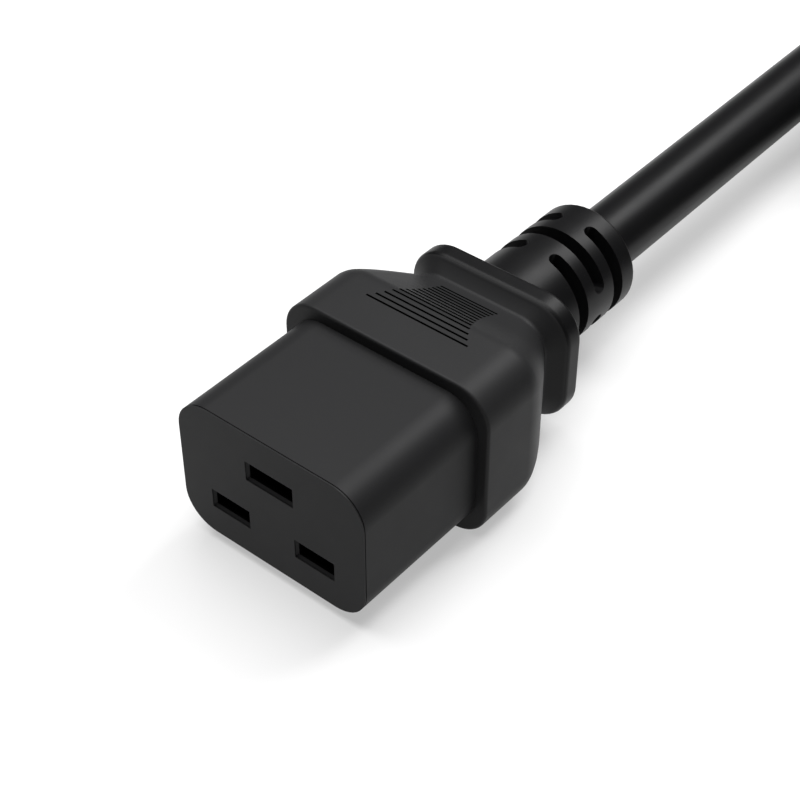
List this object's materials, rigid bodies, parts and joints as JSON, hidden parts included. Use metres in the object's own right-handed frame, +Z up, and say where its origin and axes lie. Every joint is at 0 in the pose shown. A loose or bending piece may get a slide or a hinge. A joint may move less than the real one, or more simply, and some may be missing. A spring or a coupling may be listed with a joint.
{
  "type": "c19 power connector",
  "caption": "Moulded C19 power connector with three openings, ribbed grip, finger flange and slotted strain relief, on a coiled cord that ends in a C20 plug.",
  "frame": {"origin": "middle of the connector's footprint, on the surface that it lies on; the cord, its coil and its plug are not counted", "axes": "+Y along the connector from the mating face towards the cord, +X across it, +Z up with the earth opening on top"},
  "size_m": [0.1322, 0.2197, 0.0302],
  "materials": {
    "insert": "fine matt moulding",
    "overmould": "satin moulded PVC",
    "contact": "stamped strip",
    "core_earth": "smooth",
    "core_line": "smooth",
    "core_neutral": "smooth",
    "copper": "bare stranded copper",
    "jacket": "satin extruded jacket",
    "tie": "woven hook-and-loop strap",
    "blade": "nickel-plated"
  },
  "bodies": {
    "root": {"socket_insert": "insert", "overmould": "overmould", "socket_contact_earth": "contact", "socket_contact_line": "contact", "socket_contact_neutral": "contact", "core_earth": "core_earth", "core_line": "core_line", "core_neutral": "core_neutral", "conductor_earth": "copper", "conductor_line": "copper", "conductor_neutral": "copper", "cord_run": "jacket", "cord_coil": "jacket", "cord_tail": "jacket", "coil_tie_far": "tie", "coil_tie_near": "tie", "plug_insert": "insert", "plug_overmould": "overmould", "plug_blade_earth": "blade", "plug_blade_line": "blade", "plug_blade_neutral": "blade", "plug_core_earth": "core_earth", "plug_core_line": "core_line", "plug_core_neutral": "core_neutral", "plug_conductor_earth": "copper", "plug_conductor_line": "copper", "plug_conductor_neutral": "copper"}
  },
  "joints": []
}
